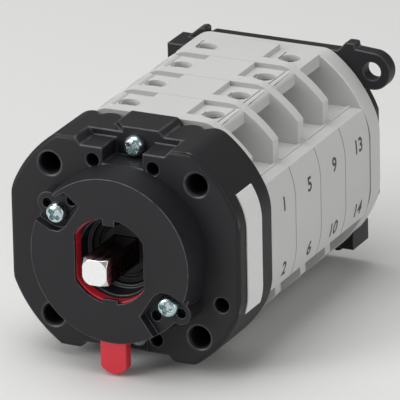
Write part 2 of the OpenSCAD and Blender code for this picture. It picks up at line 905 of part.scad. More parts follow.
module mounting_base() {
    color(black) {
        difference() {
            slab(base_y, body_depth) base_2d();
            and_opposite() rotate([0, -ear_a, 0])
                along_y(ear_pcd / 2, 0, ear_hole_d / 2, base_y - 1, body_depth + 1);
        }
        and_opposite() slab(base_y - hook_l, base_y + eps) difference() {
            hook_2d();
            circle(end_r + 0.05, $fn = 128);
        }
    }
}

latch_housing();
front_collar();
release_slide();
release_springs();
collar_screws();
label_strip();
latch_wheel();
latch_springs();
shaft();
tie_bolts();
end_plate();
mounting_base();
for (k = [1:stages]) {
    contact_block(k);
    cam(k);
    terminals(k);
    terminal_screws(k);
    clamp_washers(k);
    plunger(k, 1);
    plunger(k, -1);
    bridge(k, 1);
    bridge(k, -1);
    contact_spring(k, 1);
    contact_spring(k, -1);
}
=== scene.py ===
# %% [markdown]
# # A changeover cam switch
#
# The object is a rotary switch for mounting behind a panel. A black latch housing with a round
# collar sits in front, four light-grey contact blocks follow, and a grey end plate and a black
# mounting base close the rear. This lesson dresses the exact parts in their finishes: the parts
# come in as a fixed frame, and each visible one is given its moulded edges, its grain and its colour.
# Everything is in metres, with the shaft along Y and the front facing -Y.

# %% Load the frame
import math

import bmesh
import bpy
import numpy as np
from mathutils import Matrix, Vector


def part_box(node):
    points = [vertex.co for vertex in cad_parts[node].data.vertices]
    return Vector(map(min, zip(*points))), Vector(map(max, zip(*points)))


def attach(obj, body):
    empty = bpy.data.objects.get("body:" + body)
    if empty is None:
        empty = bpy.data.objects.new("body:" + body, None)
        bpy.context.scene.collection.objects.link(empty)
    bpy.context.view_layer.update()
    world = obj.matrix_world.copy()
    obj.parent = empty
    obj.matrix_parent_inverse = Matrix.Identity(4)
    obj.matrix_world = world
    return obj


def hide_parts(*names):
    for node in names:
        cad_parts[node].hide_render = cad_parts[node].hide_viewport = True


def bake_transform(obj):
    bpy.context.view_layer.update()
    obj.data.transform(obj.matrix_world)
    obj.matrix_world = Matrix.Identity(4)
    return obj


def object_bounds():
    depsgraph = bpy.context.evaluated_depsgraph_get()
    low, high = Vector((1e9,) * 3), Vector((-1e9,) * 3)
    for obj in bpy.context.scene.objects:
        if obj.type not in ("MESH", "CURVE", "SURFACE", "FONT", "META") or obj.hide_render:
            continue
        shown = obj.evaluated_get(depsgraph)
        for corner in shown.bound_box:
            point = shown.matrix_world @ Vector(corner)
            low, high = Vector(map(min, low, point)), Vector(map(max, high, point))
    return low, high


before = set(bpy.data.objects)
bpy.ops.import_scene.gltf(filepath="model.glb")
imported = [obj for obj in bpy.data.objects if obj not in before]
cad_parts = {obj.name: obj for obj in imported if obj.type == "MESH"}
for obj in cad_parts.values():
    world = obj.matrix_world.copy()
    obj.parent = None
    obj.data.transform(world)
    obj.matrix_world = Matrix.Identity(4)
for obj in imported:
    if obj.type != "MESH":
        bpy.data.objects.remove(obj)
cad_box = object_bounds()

MM = 0.001
lowest, highest = (np.array(corner) for corner in cad_box)
print("frame:", len(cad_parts), "nodes, box in mm", np.round((highest - lowest) / MM, 2))

# %% [markdown]
# ## Sizes that the looks need
#
# The blocks are stacked from front to rear. Their depths are read from the frame, so the numerals
# and the marks stay on their blocks if a size changes.

# %% Depths of the blocks
STAGES = 4
LEDGE = 13.0 * MM  # height at which the flat sides of a block end
block_front = [float(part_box(f"contact_block_{k}")[0][1]) for k in range(1, STAGES + 1)]
pitch = block_front[1] - block_front[0]
block_half_width = float(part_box("contact_block_1")[1][0])
block_half_height = float(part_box("contact_block_1")[1][2])
print("block fronts at", np.round(np.array(block_front) / MM, 2), "mm, pitch", round(pitch / MM, 2))


# %% Helpers for objects
def new_object(name, data):
    """An object with the given mesh, lamp or camera, linked to the scene."""
    made = bpy.data.objects.new(name, data)
    bpy.context.collection.objects.link(made)
    return made


def shade_smooth(mesh):
    """Marks every face as smooth."""
    mesh.polygons.foreach_set("use_smooth", np.ones(len(mesh.polygons), dtype=bool))


# %% [markdown]
# ## Shader groups: grain, painted edge highlights and painted seam shade
#
# Injection moulds are spark-eroded, so every plastic part carries a fine grain. The rounded edges get a
# painted highlight in spots, and the lines where two blocks meet get painted shade. These effects come
# back in several materials. Each is therefore a node group that is built once and placed in every
# material that needs it.

# %% Helpers for node trees
def new_group(name, inputs, outputs):
    """An empty shader group of float sockets. inputs: (name, default) rows. outputs: names."""
    tree = bpy.data.node_groups.new(name, "ShaderNodeTree")
    for label, value in inputs:
        socket = tree.interface.new_socket(label, in_out="INPUT", socket_type="NodeSocketFloat")
        socket.default_value = value
    for label in outputs:
        tree.interface.new_socket(label, in_out="OUTPUT", socket_type="NodeSocketFloat")
    return tree, tree.nodes.new("NodeGroupInput"), tree.nodes.new("NodeGroupOutput")


def node(tree, kind, inputs=None, **settings):
    """Adds a node, sets its properties, and fills or links its inputs."""
    made = tree.nodes.new(kind)
    for key, value in settings.items():
        setattr(made, key, value)
    for key, value in (inputs or {}).items():
        if isinstance(value, bpy.types.NodeSocket):
            tree.links.new(value, made.inputs[key])
        else:
            made.inputs[key].default_value = value
    return made


def calculate(tree, operation, *values):
    """The result of a math node. Each value is a number or a socket."""
    return node(tree, "ShaderNodeMath", dict(enumerate(values)), operation=operation).outputs[0]


def ramp(tree, factor, low, high, start=0.0, end=1.0):
    """A value that goes from start to end while the factor goes from low to high."""
    inputs = {0: factor, 1: low, 2: high, 3: start, 4: end}
    return node(tree, "ShaderNodeMapRange", inputs, clamp=True).outputs[0]


def coordinates(tree, kind="Object"):
    """The place of a point on the object, or with kind Normal the direction that it faces."""
    return node(tree, "ShaderNodeTexCoord").outputs[kind]


def noise(tree, place, scale, detail, roughness=0.5):
    """Fractal noise around 0.5."""
    inputs = {"Vector": place, "Scale": scale, "Detail": detail, "Roughness": roughness}
    return node(tree, "ShaderNodeTexNoise", inputs).outputs["Fac"]


def mixed(tree, factor, below, above):
    """A colour between two. Each is a colour or a socket."""
    inputs = {"Factor": factor, 6: below, 7: above}
    return node(tree, "ShaderNodeMix", inputs, data_type="RGBA").outputs[2]


# %% Grain of a spark-eroded mould
def build_grain():
    """Height: fine noise plus a coarser one. Mottle: a slow value from 0 to 1, for colour and gloss."""
    inputs = [("Scale", 4000.0), ("Coarse", 0.3)]
    tree, source, sink = new_group("mould_grain", inputs, ["Height", "Mottle"])
    place, scale = coordinates(tree), source.outputs["Scale"]
    fine = noise(tree, place, scale, 3.0, 0.6)
    coarse = noise(tree, place, calculate(tree, "MULTIPLY", scale, 0.22), 2.0)
    share = calculate(tree, "MULTIPLY", coarse, source.outputs["Coarse"])
    cloud = noise(tree, place, 60.0, 4.0, 0.65)
    tree.links.new(calculate(tree, "ADD", fine, share), sink.inputs["Height"])
    tree.links.new(ramp(tree, cloud, 0.3, 0.7), sink.inputs["Mottle"])
    return tree


# %% Painted highlight on the rounded edges
def build_edge_highlight():
    """Mask: where an edge gets its painted highlight, from 0 to 1, broken up by noise."""
    tree, source, sink = new_group("painted_edge_highlight", [("Scale", 420.0), ("Amount", 1.0)], ["Mask"])
    speck = noise(tree, coordinates(tree), source.outputs["Scale"], 3.0)
    mask = calculate(tree, "MULTIPLY", ramp(tree, speck, 0.3, 0.6), source.outputs["Amount"])
    tree.links.new(mask, sink.inputs["Mask"])
    return tree


# %% Painted shade in the seams
SEAM_HALF_WIDTH = 0.22 * MM
SEAM_ON_TOPS = 0.4  # share of the painted seam shade that shows on the tops
SIDE_DEPTH = (2.4 * MM, 2.2 * MM)  # inside the widest point: where the sides start and are full
TOP_DEPTH = (1.2 * MM, 1.0 * MM)  # inside the highest point: the same for the tops


def build_seam_shade():
    """Mask of painted shade: 1 on a plane between two blocks, 0 at the half width from it. The sides
    below the ledge get it in full, the tops at a lower share, and the surfaces between them not at all."""
    tree, source, sink = new_group("seam_painted_shade", [("Half Width", SEAM_HALF_WIDTH)], ["Mask"])
    x, y, z = node(tree, "ShaderNodeSeparateXYZ", {0: coordinates(tree)}).outputs
    folded = calculate(tree, "PINGPONG", calculate(tree, "ADD", y, -block_front[0]), pitch)
    from_middle = calculate(tree, "ABSOLUTE", calculate(tree, "SUBTRACT", folded, pitch / 2))
    to_seam = calculate(tree, "SUBTRACT", pitch / 2, from_middle)
    inside = ramp(tree, to_seam, source.outputs["Half Width"], 0.0)
    out, up = calculate(tree, "ABSOLUTE", x), calculate(tree, "ABSOLUTE", z)
    wide = ramp(tree, out, block_half_width - SIDE_DEPTH[0], block_half_width - SIDE_DEPTH[1])
    below_ledge = calculate(tree, "LESS_THAN", up, LEDGE - 0.1 * MM)
    side = calculate(tree, "MULTIPLY", wide, below_ledge)
    above = ramp(tree, up, block_half_height - TOP_DEPTH[0], block_half_height - TOP_DEPTH[1])
    top = calculate(tree, "MULTIPLY", above, SEAM_ON_TOPS)
    outer = calculate(tree, "MAXIMUM", side, top)
    tree.links.new(calculate(tree, "MULTIPLY", inside, outer), sink.inputs["Mask"])
    return tree


GRAIN, EDGE_HIGHLIGHT, PAINTED_SEAM_SHADE = build_grain(), build_edge_highlight(), build_seam_shade()
print("groups:", GRAIN.name, EDGE_HIGHLIGHT.name, PAINTED_SEAM_SHADE.name)

# %% [markdown]
# ## Moulded plastics
#
# Black polyamide, light-grey polyamide and the red slide differ in colour and gloss, not in kind. One
# function writes the shader: the colour wanders a little with the mottle, the rounded edges get a
# painted highlight in spots, the seams between the blocks get painted shade, and the grain raises the
# surface by 6 to 22 micrometres.

# %% Plastic
WANDER = 0.02  # how far the colour goes up and down with the mottle
GLOSS_WANDER = 0.025  # the same for the roughness
SEAM_SHADE = 0.12  # colour of the painted shade in the seams, as a share of the plastic's own


def new_material(name):
    """A material with nodes. Gives it with its tree and its shader."""
    made = bpy.data.materials.new(name)
    made.use_nodes = True
    return made, made.node_tree, made.node_tree.nodes["Principled BSDF"]


def add_bump(tree, shader, height, distance):
    """Raises the surface by distance metres where the height is 1."""
    inputs = {"Height": height, "Strength": 1.0, "Distance": distance}
    raised = node(tree, "ShaderNodeBump", inputs)
    tree.links.new(raised.outputs["Normal"], shader.inputs["Normal"])


def lighter(colour, factor):
    """The colour times the factor, at most 1, with alpha."""
    return tuple(min(1.0, c * factor) for c in colour) + (1.0,)


def over(tree, below, group, colour):
    """Mixes a colour over the one below by the Mask of a node group."""
    return mixed(tree, node(tree, "ShaderNodeGroup", node_tree=group).outputs["Mask"], below, colour)


def plastic(name, colour, roughness, grain_scale, bump, highlight_gain=None, painted_seams=False, sheen=0.5):
    """A moulded plastic. bump: height of the grain in metres. highlight_gain: how much lighter the
    painted highlight on the rounded edges is, in spots. painted_seams: paint shade on the lines where
    neighbouring
    blocks meet. sheen: strength of the mirror part, 0.5 for a plain plastic and less for a dull one."""
    made, tree, shader = new_material(name)
    shader.inputs["Specular IOR Level"].default_value = sheen
    grain = node(tree, "ShaderNodeGroup", node_tree=GRAIN)
    grain.inputs["Scale"].default_value = grain_scale
    mottle = grain.outputs["Mottle"]
    tint = mixed(tree, mottle, lighter(colour, 1 - WANDER), lighter(colour, 1 + WANDER))
    # Painted highlight: lighter spots on the rounded edges.
    if highlight_gain:
        tint = over(tree, tint, EDGE_HIGHLIGHT, lighter(colour, highlight_gain))
    # Painted shade: darker lines where neighbouring blocks meet.
    if painted_seams:
        tint = over(tree, tint, PAINTED_SEAM_SHADE, lighter(colour, SEAM_SHADE))
    tree.links.new(tint, shader.inputs["Base Color"])
    gloss = ramp(tree, mottle, 0.0, 1.0, roughness - GLOSS_WANDER, roughness + GLOSS_WANDER)
    tree.links.new(gloss, shader.inputs["Roughness"])
    add_bump(tree, shader, grain.outputs["Height"], bump)
    return made


BLACK_COLOUR, GREY_COLOUR = (0.0145, 0.0138, 0.0162), (0.625, 0.63, 0.615)
BLACK = plastic("black_polyamide", BLACK_COLOUR, 0.46, 2600.0, 0.000022, sheen=0.3)
# Edge copies: the rounded edges get a painted highlight in spots, strongest on the collar's rim.
BLACK_EDGE_HIGHLIT = plastic("black_polyamide_edge_highlit", BLACK_COLOUR, 0.34, 2600.0, 0.000008, highlight_gain=3.2)
BLACK_RIM_HIGHLIT = plastic("black_polyamide_rim_highlit", BLACK_COLOUR, 0.34, 2600.0, 0.000008, highlight_gain=6.5)
GREY = plastic("grey_polyamide", GREY_COLOUR, 0.5, 2200.0, 0.000012, painted_seams=True)
GREY_EDGE_HIGHLIT = plastic("grey_polyamide_edge_highlit", GREY_COLOUR, 0.4, 2200.0, 0.000006, highlight_gain=1.1, painted_seams=True)
RED = plastic("red_slide", (0.62, 0.022, 0.038), 0.32, 1800.0, 0.000006)
CREAM = plastic("natural_acetal", (0.62, 0.57, 0.42), 0.36, 2000.0, 0.000006)
DARK = plastic("dark_plunger", (0.06, 0.065, 0.07), 0.42, 2000.0, 0.000008)
print("plastics:", BLACK.name, GREY.name, RED.name, CREAM.name, DARK.name)

# %% [markdown]
# ## Metals
#
# The screws are zinc plated with a thin passivation that shimmers blue-green. The shaft is a drawn
# square bar with a turned end. Terminals are stamped brass, and the contact bridges are copper.
# All are metallic shaders whose colour and gloss vary with noise, stretched along the bar on the shaft.
# The shaft's end face also gets a painted highlight, and its sides get painted shade.

# %% Metal
MARKS_SCALE = 900.0  # of the drawing and rolling marks


def metal(name, colour, second, roughness, stretch=(1.0, 1.0, 1.0), bump=0.000003):
    """A metal whose colour drifts between two tints. stretch: scale of its marks along each axis."""
    made, tree, shader = new_material(name)
    shader.inputs["Metallic"].default_value = 1.0
    place = coordinates(tree)
    drawn = node(tree, "ShaderNodeMapping", {"Vector": place, "Scale": stretch}).outputs[0]
    marks = noise(tree, drawn, MARKS_SCALE, 4.0, 0.6)
    cloud = noise(tree, place, 350.0, 2.0)
    tint = mixed(tree, ramp(tree, cloud, 0.35, 0.65), (*colour, 1.0), (*second, 1.0))
    tree.links.new(tint, shader.inputs["Base Color"])
    gloss = ramp(tree, marks, 0.3, 0.7, roughness - 0.06, roughness + 0.08)
    tree.links.new(gloss, shader.inputs["Roughness"])
    add_bump(tree, shader, marks, bump)
    return made


ZINC = metal("zinc_plate", (0.62, 0.70, 0.71), (0.48, 0.64, 0.66), 0.24)
WIRE = metal("spring_wire", (0.55, 0.55, 0.56), (0.45, 0.45, 0.47), 0.3)
BRASS = metal("stamped_brass", (0.78, 0.60, 0.30), (0.66, 0.50, 0.26), 0.28)
COPPER = metal("contact_copper", (0.80, 0.48, 0.33), (0.70, 0.40, 0.27), 0.3)


# %% Shaft
BAR_TINTS = (0.80, 0.80, 0.80), (0.74, 0.75, 0.76)
# Painted shade with a brown painted reflection for the sides, painted highlight for the end face.
PAINTED_SIDE_SHADE, PAINTED_END_HIGHLIGHT = (0.10, 0.075, 0.062, 1.0), (0.97, 0.98, 0.98, 1.0)


def shaft_metal(bright_from, bright_to):
    """Painted highlight on the end face, chosen by the way that it faces, and painted shade with a
    brown painted reflection on the sides behind it. The change lies between two depths along Y.
    """
    made = metal("shaft_painted_light", *BAR_TINTS, 0.26, stretch=(1.0, 0.06, 1.0), bump=0.0000012)
    tree = made.node_tree
    base = tree.nodes["Principled BSDF"].inputs["Base Color"]
    bare = base.links[0].from_socket
    place = coordinates(tree)
    depth = node(tree, "ShaderNodeSeparateXYZ", {0: place}).outputs["Y"]
    drift = calculate(tree, "MULTIPLY_ADD", noise(tree, place, 900.0, 3.0), 0.8 * MM, depth)
    # Painted shade on the sides behind the end, fading in between the depths given.
    painted_dark = mixed(tree, ramp(tree, drift, bright_from, bright_to), bare, PAINTED_SIDE_SHADE)
    facing = node(tree, "ShaderNodeSeparateXYZ", {0: coordinates(tree, "Normal")}).outputs["Y"]
    ahead = calculate(tree, "MULTIPLY", facing, -1.0)
    # Painted highlight on the faces that point forwards: the end face.
    tree.links.new(mixed(tree, ramp(tree, ahead, 0.9, 0.99), painted_dark, PAINTED_END_HIGHLIGHT), base)
    return made


shaft_front = float(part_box("shaft")[0][1])
SHAFT = shaft_metal(shaft_front + 1.2 * MM, shaft_front + 3.2 * MM)
print("metals:", ZINC.name, WIRE.name, BRASS.name, COPPER.name, SHAFT.name)

# %% [markdown]
# ## Label film
#
# The label is a strip of matt white film. It stays blank. Paper-like mottling and a slight sheen
# keep it from looking like paint.

# %% Film
FILM_TINTS = (0.77, 0.765, 0.755, 1.0), (0.83, 0.825, 0.82, 1.0)


def film():
    """White film with a mottled tint and waves of the same pattern."""
    made, tree, shader = new_material("label_film")
    shader.inputs["Roughness"].default_value = 0.42
    grain = node(tree, "ShaderNodeGroup", node_tree=GRAIN)
    grain.inputs["Scale"].default_value = 1400.0
    tree.links.new(mixed(tree, grain.outputs["Mottle"], *FILM_TINTS), shader.inputs["Base Color"])
    add_bump(tree, shader, grain.outputs["Mottle"], 0.00002)
    return made


FILM = film()
print("label:", FILM.name)

# %% [markdown]
# ## Moulded edges
#
# The frame's parts have knife-sharp edges, and a real moulding has small radii that catch the light.
# A merged copy of the part gets a Bevel modifier, which rounds every edge sharper than 30 degrees,
# and the copy stands for the part.

# %% Softened copies
DOUBLE, SLIVER, TINY_EDGE = 0.002 * MM, 0.004 * MM, 0.08 * MM  # lengths that are merged away
FLAT_ANGLE, SHARP_ANGLE = math.radians(0.7), math.radians(30.0)


def merged_copy(name):
    """A frame part as one closed mesh: doubles merged, flat faces joined, normals outwards."""
    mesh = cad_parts[name].data.copy()
    work = bmesh.new()
    work.from_mesh(mesh)
    bmesh.ops.remove_doubles(work, verts=work.verts, dist=DOUBLE)
    bmesh.ops.dissolve_degenerate(work, edges=work.edges, dist=SLIVER)
    bmesh.ops.dissolve_limit(work, angle_limit=FLAT_ANGLE, verts=work.verts, edges=work.edges)
    bmesh.ops.dissolve_degenerate(work, edges=work.edges, dist=TINY_EDGE)
    bmesh.ops.recalc_face_normals(work, faces=work.faces)
    work.to_mesh(mesh)
    work.free()
    return mesh


def soften(name, body, material, width, edge=None):
    """Puts a bevelled copy of a frame part in its place. edge: the material of the rounded edges, which
    carries a painted highlight where one is given.
    """
    mesh = merged_copy(name)
    mesh.materials.clear()
    mesh.materials.append(material)
    mesh.materials.append(edge or material)
    shade_smooth(mesh)
    piece = new_object(name + "_moulded", mesh)
    bevel = piece.modifiers.new("edge", "BEVEL")
    bevel.width = width
    bevel.material = 1
    bevel.segments = 3
    bevel.limit_method = "ANGLE"
    bevel.angle_limit = SHARP_ANGLE
    bevel.use_clamp_overlap = False
    bevel.face_strength_mode = "FSTR_AFFECTED"
    even = piece.modifiers.new("even", "WEIGHTED_NORMAL")
    even.mode = "FACE_AREA"
    even.use_face_influence = True
    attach(piece, body)
    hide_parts(name)


soften("latch_housing", "housing", BLACK, 0.35 * MM, BLACK_EDGE_HIGHLIT)
soften("front_collar", "housing", BLACK, 0.13 * MM, BLACK_RIM_HIGHLIT)
soften("mounting_base", "housing", BLACK, 0.3 * MM, BLACK_EDGE_HIGHLIT)
soften("end_plate", "housing", GREY, 0.3 * MM, GREY_EDGE_HIGHLIT)
soften("release_slide", "release", RED, 0.3 * MM)
soften("latch_wheel", "rotor", BLACK, 0.2 * MM)
soften("shaft", "rotor", SHAFT, 0.12 * MM)
for k in range(1, STAGES + 1):
    soften(f"contact_block_{k}", "housing", GREY, 0.07 * MM, GREY_EDGE_HIGHLIT)
print("moulded parts:", 7 + STAGES)


# %% Finishes of the parts that keep their shape
def dress(name, material):
    """Gives a frame part one material."""
    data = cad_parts[name].data
    data.materials.clear()
    data.materials.append(material)


dress("label_strip", FILM)
dress("latch_springs", WIRE)
for k in range(1, STAGES + 1):
    dress(f"cam_{k}", CREAM)
    dress(f"terminals_{k}", BRASS)
    dress(f"clamp_washers_{k}", ZINC)
    for side in ("right", "left"):
        dress(f"plunger_{side}_{k}", DARK)
        dress(f"bridge_{side}_{k}", COPPER)
print("dressed parts:", 2 + 7 * STAGES)

# %% [markdown]
# ## Screws
#
# Every screw is a pan head with a cross recess on a threaded shank. A head is a surface of
# revolution whose profile is a superellipse, so the top is domed and the side is steep. The recess
# sinks the top inside two crossed bars that narrow outwards. The shank's radius follows a helix.

# %% Surfaces of revolution
def smooth_step(value, low, high):
    """3 t^2 - 2 t^3, where t goes from 0 at low to 1 at high."""
    t = np.clip((value - low) / (high - low), 0.0, 1.0)
    return t * t * (3.0 - 2.0 * t)


def circle(points):
    """Angles of evenly spaced points round a circle."""
    return np.linspace(0.0, 2.0 * math.pi, points, endpoint=False)


def ring_surface(x, y, z):
    """Closed surface through rings of points, with a cap at each end. x, y, z: over (ring, spoke)."""
    rings, spokes = x.shape
    points = np.column_stack([x.ravel(), y.ravel(), z.ravel()])
    ends = np.array([points[:spokes].mean(axis=0), points[-spokes:].mean(axis=0)])
    i, j = np.meshgrid(np.arange(rings - 1), np.arange(spokes), indexing="ij")
    a, b = i * spokes + j, i * spokes + (j + 1) % spokes
    quads = np.stack([a, a + spokes, b + spokes, b], axis=-1).reshape(-1, 4)
    j = np.arange(spokes)
    after, last = (j + 1) % spokes, (rings - 1) * spokes
    first_fan = np.column_stack([np.full(spokes, rings * spokes), j, after])
    last_fan = np.column_stack([np.full(spokes, rings * spokes + 1), last + after, last + j])
    faces = quads.tolist() + first_fan.tolist() + last_fan.tolist()
    return np.vstack([points, ends]), faces


def revolve(rho, zeta):
    """Surface of revolution about z from grids of radius and height over (ring, spoke)."""
    angle = circle(rho.shape[1])
    return ring_surface(rho * np.cos(angle), rho * np.sin(angle), zeta)


# %% Screw
DOME, FLANK = 0.45, 0.75  # exponents of the head's profile
RECESS = 0.5  # depth of the cross, as a share of the head's height
THREAD_LEAD, THREAD_CUT = 0.5 * MM, 0.13
TIP_TAPER = 0.2  # share of the radius that is lost at the tip
SHANK_SPOKES = 24


def cross_depth(x, y, radius):
    """1 inside a cross recess, 0 outside, with steep walls: two bars |y| < w(x), where
    w = 0.21 radius - 0.12 |x|, that end between 0.52 and 0.66 radius."""
    def bar(u, v):
        """One bar along u."""
        width = radius * (0.21 - 0.12 * np.abs(u) / radius)
        beside = smooth_step(np.abs(v), width, width + 0.05 * radius)
        beyond = smooth_step(np.abs(u), 0.52 * radius, 0.66 * radius)
        return (1 - beside) * (1 - beyond)
    return np.maximum(bar(x, y), bar(y, x))


def screw_parts(head_r, head_h, shank_r, length, threaded, spokes):
    """Head on z = 0 with its dome upwards, shank from z = 0 down to -length, threaded at its end.

    Head profile, t from 0 to pi/2: rho = head_r sin(t)^DOME, z = head_h cos(t)^FLANK. Inside the
    recess, z sinks by RECESS head_h. Thread: rho = shank_r (1 - THREAD_CUT w), w a triangle wave of
    z / THREAD_LEAD + angle / 2 pi."""
    t = np.linspace(0.0, math.pi / 2, spokes // 3)[1:]
    rho = np.concatenate([head_r * np.sin(t) ** DOME, [head_r * 0.97, shank_r]])
    zeta = np.concatenate([head_h * np.cos(t) ** FLANK, [0.0, 0.0]])
    zeta[len(t) - 1] = 0.06 * head_h
    angle = circle(spokes)
    rho, zeta = np.repeat(rho[:, None], spokes, 1), np.repeat(zeta[:, None], spokes, 1)
    x, y = rho * np.cos(angle), rho * np.sin(angle)
    top = (np.arange(len(rho)) < len(t) - 2)[:, None]
    zeta = zeta - RECESS * head_h * cross_depth(x, y, head_r) * top
    head = revolve(rho, zeta)

    lead = THREAD_LEAD
    steps = np.arange(threaded - length, -length, -lead / 4)
    z = np.concatenate([[0.1 * head_h], steps, [-length]])
    turn = circle(SHANK_SPOKES)
    wave = np.abs(2.0 * np.mod(z[:, None] / lead + turn / (2.0 * math.pi), 1.0) - 1.0)
    tip = smooth_step(-length + lead - z, 0.0, lead)
    cut = np.clip(smooth_step(threaded - length - z, 0.0, lead) - tip, 0.0, 1.0)
    radius = shank_r * (1.0 - THREAD_CUT * wave * cut[:, None])
    radius = radius * (1.0 - TIP_TAPER * tip[:, None])
    return [head, revolve(radius, np.repeat(z[:, None], SHANK_SPOKES, 1))]


# %% Placing parts
def place_parts(parts, origin, axis, spin):
    """Turns z to the axis, spins about it, moves to the origin. Gives point arrays with their faces."""
    axis = np.array(axis, dtype=float)
    side = np.cross(axis, [0.0, 1.0, 0.0] if abs(axis[1]) < 0.9 else [0.0, 0.0, 1.0])
    side /= np.linalg.norm(side)
    across = np.cross(axis, side)
    c, s = math.cos(spin), math.sin(spin)
    basis = np.array([c * side + s * across, c * across - s * side, axis])
    return [(points @ basis + np.array(origin), faces) for points, faces in parts]


def add_piece(name, parts, body, material, replaced, stretch=None):
    """One object from point and face lists, smooth shaded with sharp edges kept sharp. stretch: when
    given, the piece is left in world space and attached to no body; the body and points in it are not
    used."""
    points, faces, start = [], [], 0
    for part_points, part_faces in parts:
        points.append(part_points)
        faces += [[index + start for index in face] for face in part_faces]
        start += len(part_points)
    mesh = bpy.data.meshes.new(name)
    mesh.from_pydata(np.vstack(points).tolist(), [], faces)
    shade_smooth(mesh)
    mesh.set_sharp_from_angle(angle=math.radians(50.0))
    mesh.materials.append(material)
    piece = new_object(name, mesh)
    if stretch:
        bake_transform(piece)
    else:
        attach(piece, body)
    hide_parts(replaced)


# %% Screws in their places
HEAD_R, HEAD_H, SHANK_R, THREADED = 2.5 * MM, 2.3 * MM, 1.5 * MM, 8.0 * MM
CLAMP_R, CLAMP_H, CLAMP_LENGTH, CLAMP_THREADED = 2.7 * MM, 2.2 * MM, 6.9 * MM, 6.0 * MM
HEAD_SPOKES, CLAMP_SPOKES = 132, 72

low, high = (np.array(corner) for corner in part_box("collar_screws"))
reach = np.array([high[0] - HEAD_R, low[1] + HEAD_H, high[2] - HEAD_R])
screw = screw_parts(HEAD_R, HEAD_H, SHANK_R, high[1] - reach[1], THREADED, HEAD_SPOKES)
parts = []
for side in (-1, 1):
    parts += place_parts(screw, reach * [side, 1, -side], (0, -1, 0), 0.35 + side)
add_piece("collar_screws_turned", parts, "housing", ZINC, "collar_screws")

low, high = (np.array(corner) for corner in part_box("tie_bolts"))
reach = np.array([0.0, low[1] + HEAD_H, high[2] - HEAD_R])
screw = screw_parts(HEAD_R, HEAD_H, SHANK_R, high[1] - reach[1], THREADED, HEAD_SPOKES)
parts = []
for side in (-1, 1):
    parts += place_parts(screw, reach * [1, 1, side], (0, -1, 0), 0.9 * side)
add_piece("tie_bolts_turned", parts, "housing", ZINC, "tie_bolts")

screw = screw_parts(CLAMP_R, CLAMP_H, SHANK_R, CLAMP_LENGTH, CLAMP_THREADED, CLAMP_SPOKES)
for k in range(1, STAGES + 1):
    low, high = (np.array(corner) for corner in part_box(f"terminal_screws_{k}"))
    reach = np.array([high[0] - CLAMP_R, (low[1] + high[1]) / 2, high[2] - CLAMP_H])
    parts = []
    for x_side in (-1, 1):
        for z_side in (-1, 1):
            spin = 0.5 * k + x_side + 2 * z_side
            parts += place_parts(screw, reach * [x_side, 1, z_side], (0, 0, z_side), spin)
    add_piece(f"terminal_screws_turned_{k}", parts, "housing", ZINC, f"terminal_screws_{k}")
print("screws with heads of", 2 * HEAD_R / MM, "and", 2 * CLAMP_R / MM, "mm")

# %% [markdown]
# ## Springs
#
# A helical spring is a round wire swept along a helix, with one closed turn at each end. One end sits
# on the housing and the other on the part that it pushes.

# %% Coils
STEPS_PER_TURN, WIRE_SPOKES = 36, 12


def coil(radius, wire, length, turns):
    """Wire of diameter wire along a helix from z = 0 to length, radius to the wire's centre.

    Centre line: (radius cos a, radius sin a, z(a)), a from 0 to 2 pi turns. z rises by one wire
    diameter in the first and in the last turn, and evenly in between."""
    rise = length - wire
    a = np.linspace(0.0, 2.0 * math.pi * turns, STEPS_PER_TURN * turns + 1)[:, None]
    marks, heights = [0, 1, turns - 1, turns], [0, wire, rise - wire, rise]
    height = wire / 2 + np.interp(a / (2.0 * math.pi), marks, heights)
    b = circle(WIRE_SPOKES)
    reach = radius + wire / 2 * np.cos(b)
    return ring_surface(reach * np.cos(a), reach * np.sin(a), height + wire / 2 * np.sin(b))


TURNS = 5
low, high = (np.array(corner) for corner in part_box("release_springs"))
wire, radius = 0.4 * MM, 0.9 * MM
spring = [coil(radius, wire, high[2] - low[2], TURNS)]
reach, middle = high[0] - radius - wire / 2, (low[1] + high[1]) / 2
parts = []
for side in (-1, 1):
    parts += place_parts(spring, (side * reach, middle, low[2]), (0, 0, 1), 0.0)
add_piece("release_springs_wound", parts, "housing", WIRE, "release_springs",
          stretch=("release", (0, 0, low[2]), (0, 0, high[2])))

wire, radius = 0.5 * MM, 2.1 * MM
for k in range(1, STAGES + 1):
    for side, sign in (("right", 1), ("left", -1)):
        low, high = (np.array(corner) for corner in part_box(f"contact_spring_{side}_{k}"))
        inner, outer = sorted((low[0], high[0]), key=abs)
        start = np.array([outer, (low[1] + high[1]) / 2, 0.0])
        spring = [coil(radius, wire, high[0] - low[0], TURNS)]
        parts = place_parts(spring, start, (-sign, 0, 0), 0.0)
        add_piece(f"contact_spring_wound_{side}_{k}", parts, "housing", WIRE,
                  f"contact_spring_{side}_{k}",
                  stretch=(f"contact_{side}_{k}", (outer, 0, 0), (inner, 0, 0)))
print("springs:", 2 + 2 * STAGES)

# %% [markdown]
# ## Numerals on the blocks
#
# Each block carries the numbers of its terminals, printed on the curved sides. A text object gives
# flat outlines. They are cut into thin strips, so that they can bend, and then laid on the curve of
# the side: a flat middle that runs into a 20 mm radius above and below.

# %% Numerals
FLAT_HALF, SIDE_RADIUS = 5.0 * MM, 20.0 * MM
DIGIT_HEIGHT, DIGIT_SHARE = 3.4 * MM, 0.73  # share: height of a digit over the size of the font
INK_LIFT, INK_HALF_THICKNESS, INK_SPREAD = 0.02 * MM, 0.012 * MM, 0.095 * MM
STRIP_EDGES = np.arange(-2.0, 2.01, 0.4) * MM
INK = plastic("printing_ink", (0.055, 0.055, 0.06), 0.55, 1500.0, 0.000002)


def side_x(z):
    """Half width of a block at height z: constant in the middle, then an arc of SIDE_RADIUS."""
    past = np.maximum(np.abs(z) - FLAT_HALF, 0.0)
    return block_half_width - SIDE_RADIUS + np.sqrt(SIDE_RADIUS**2 - past**2)


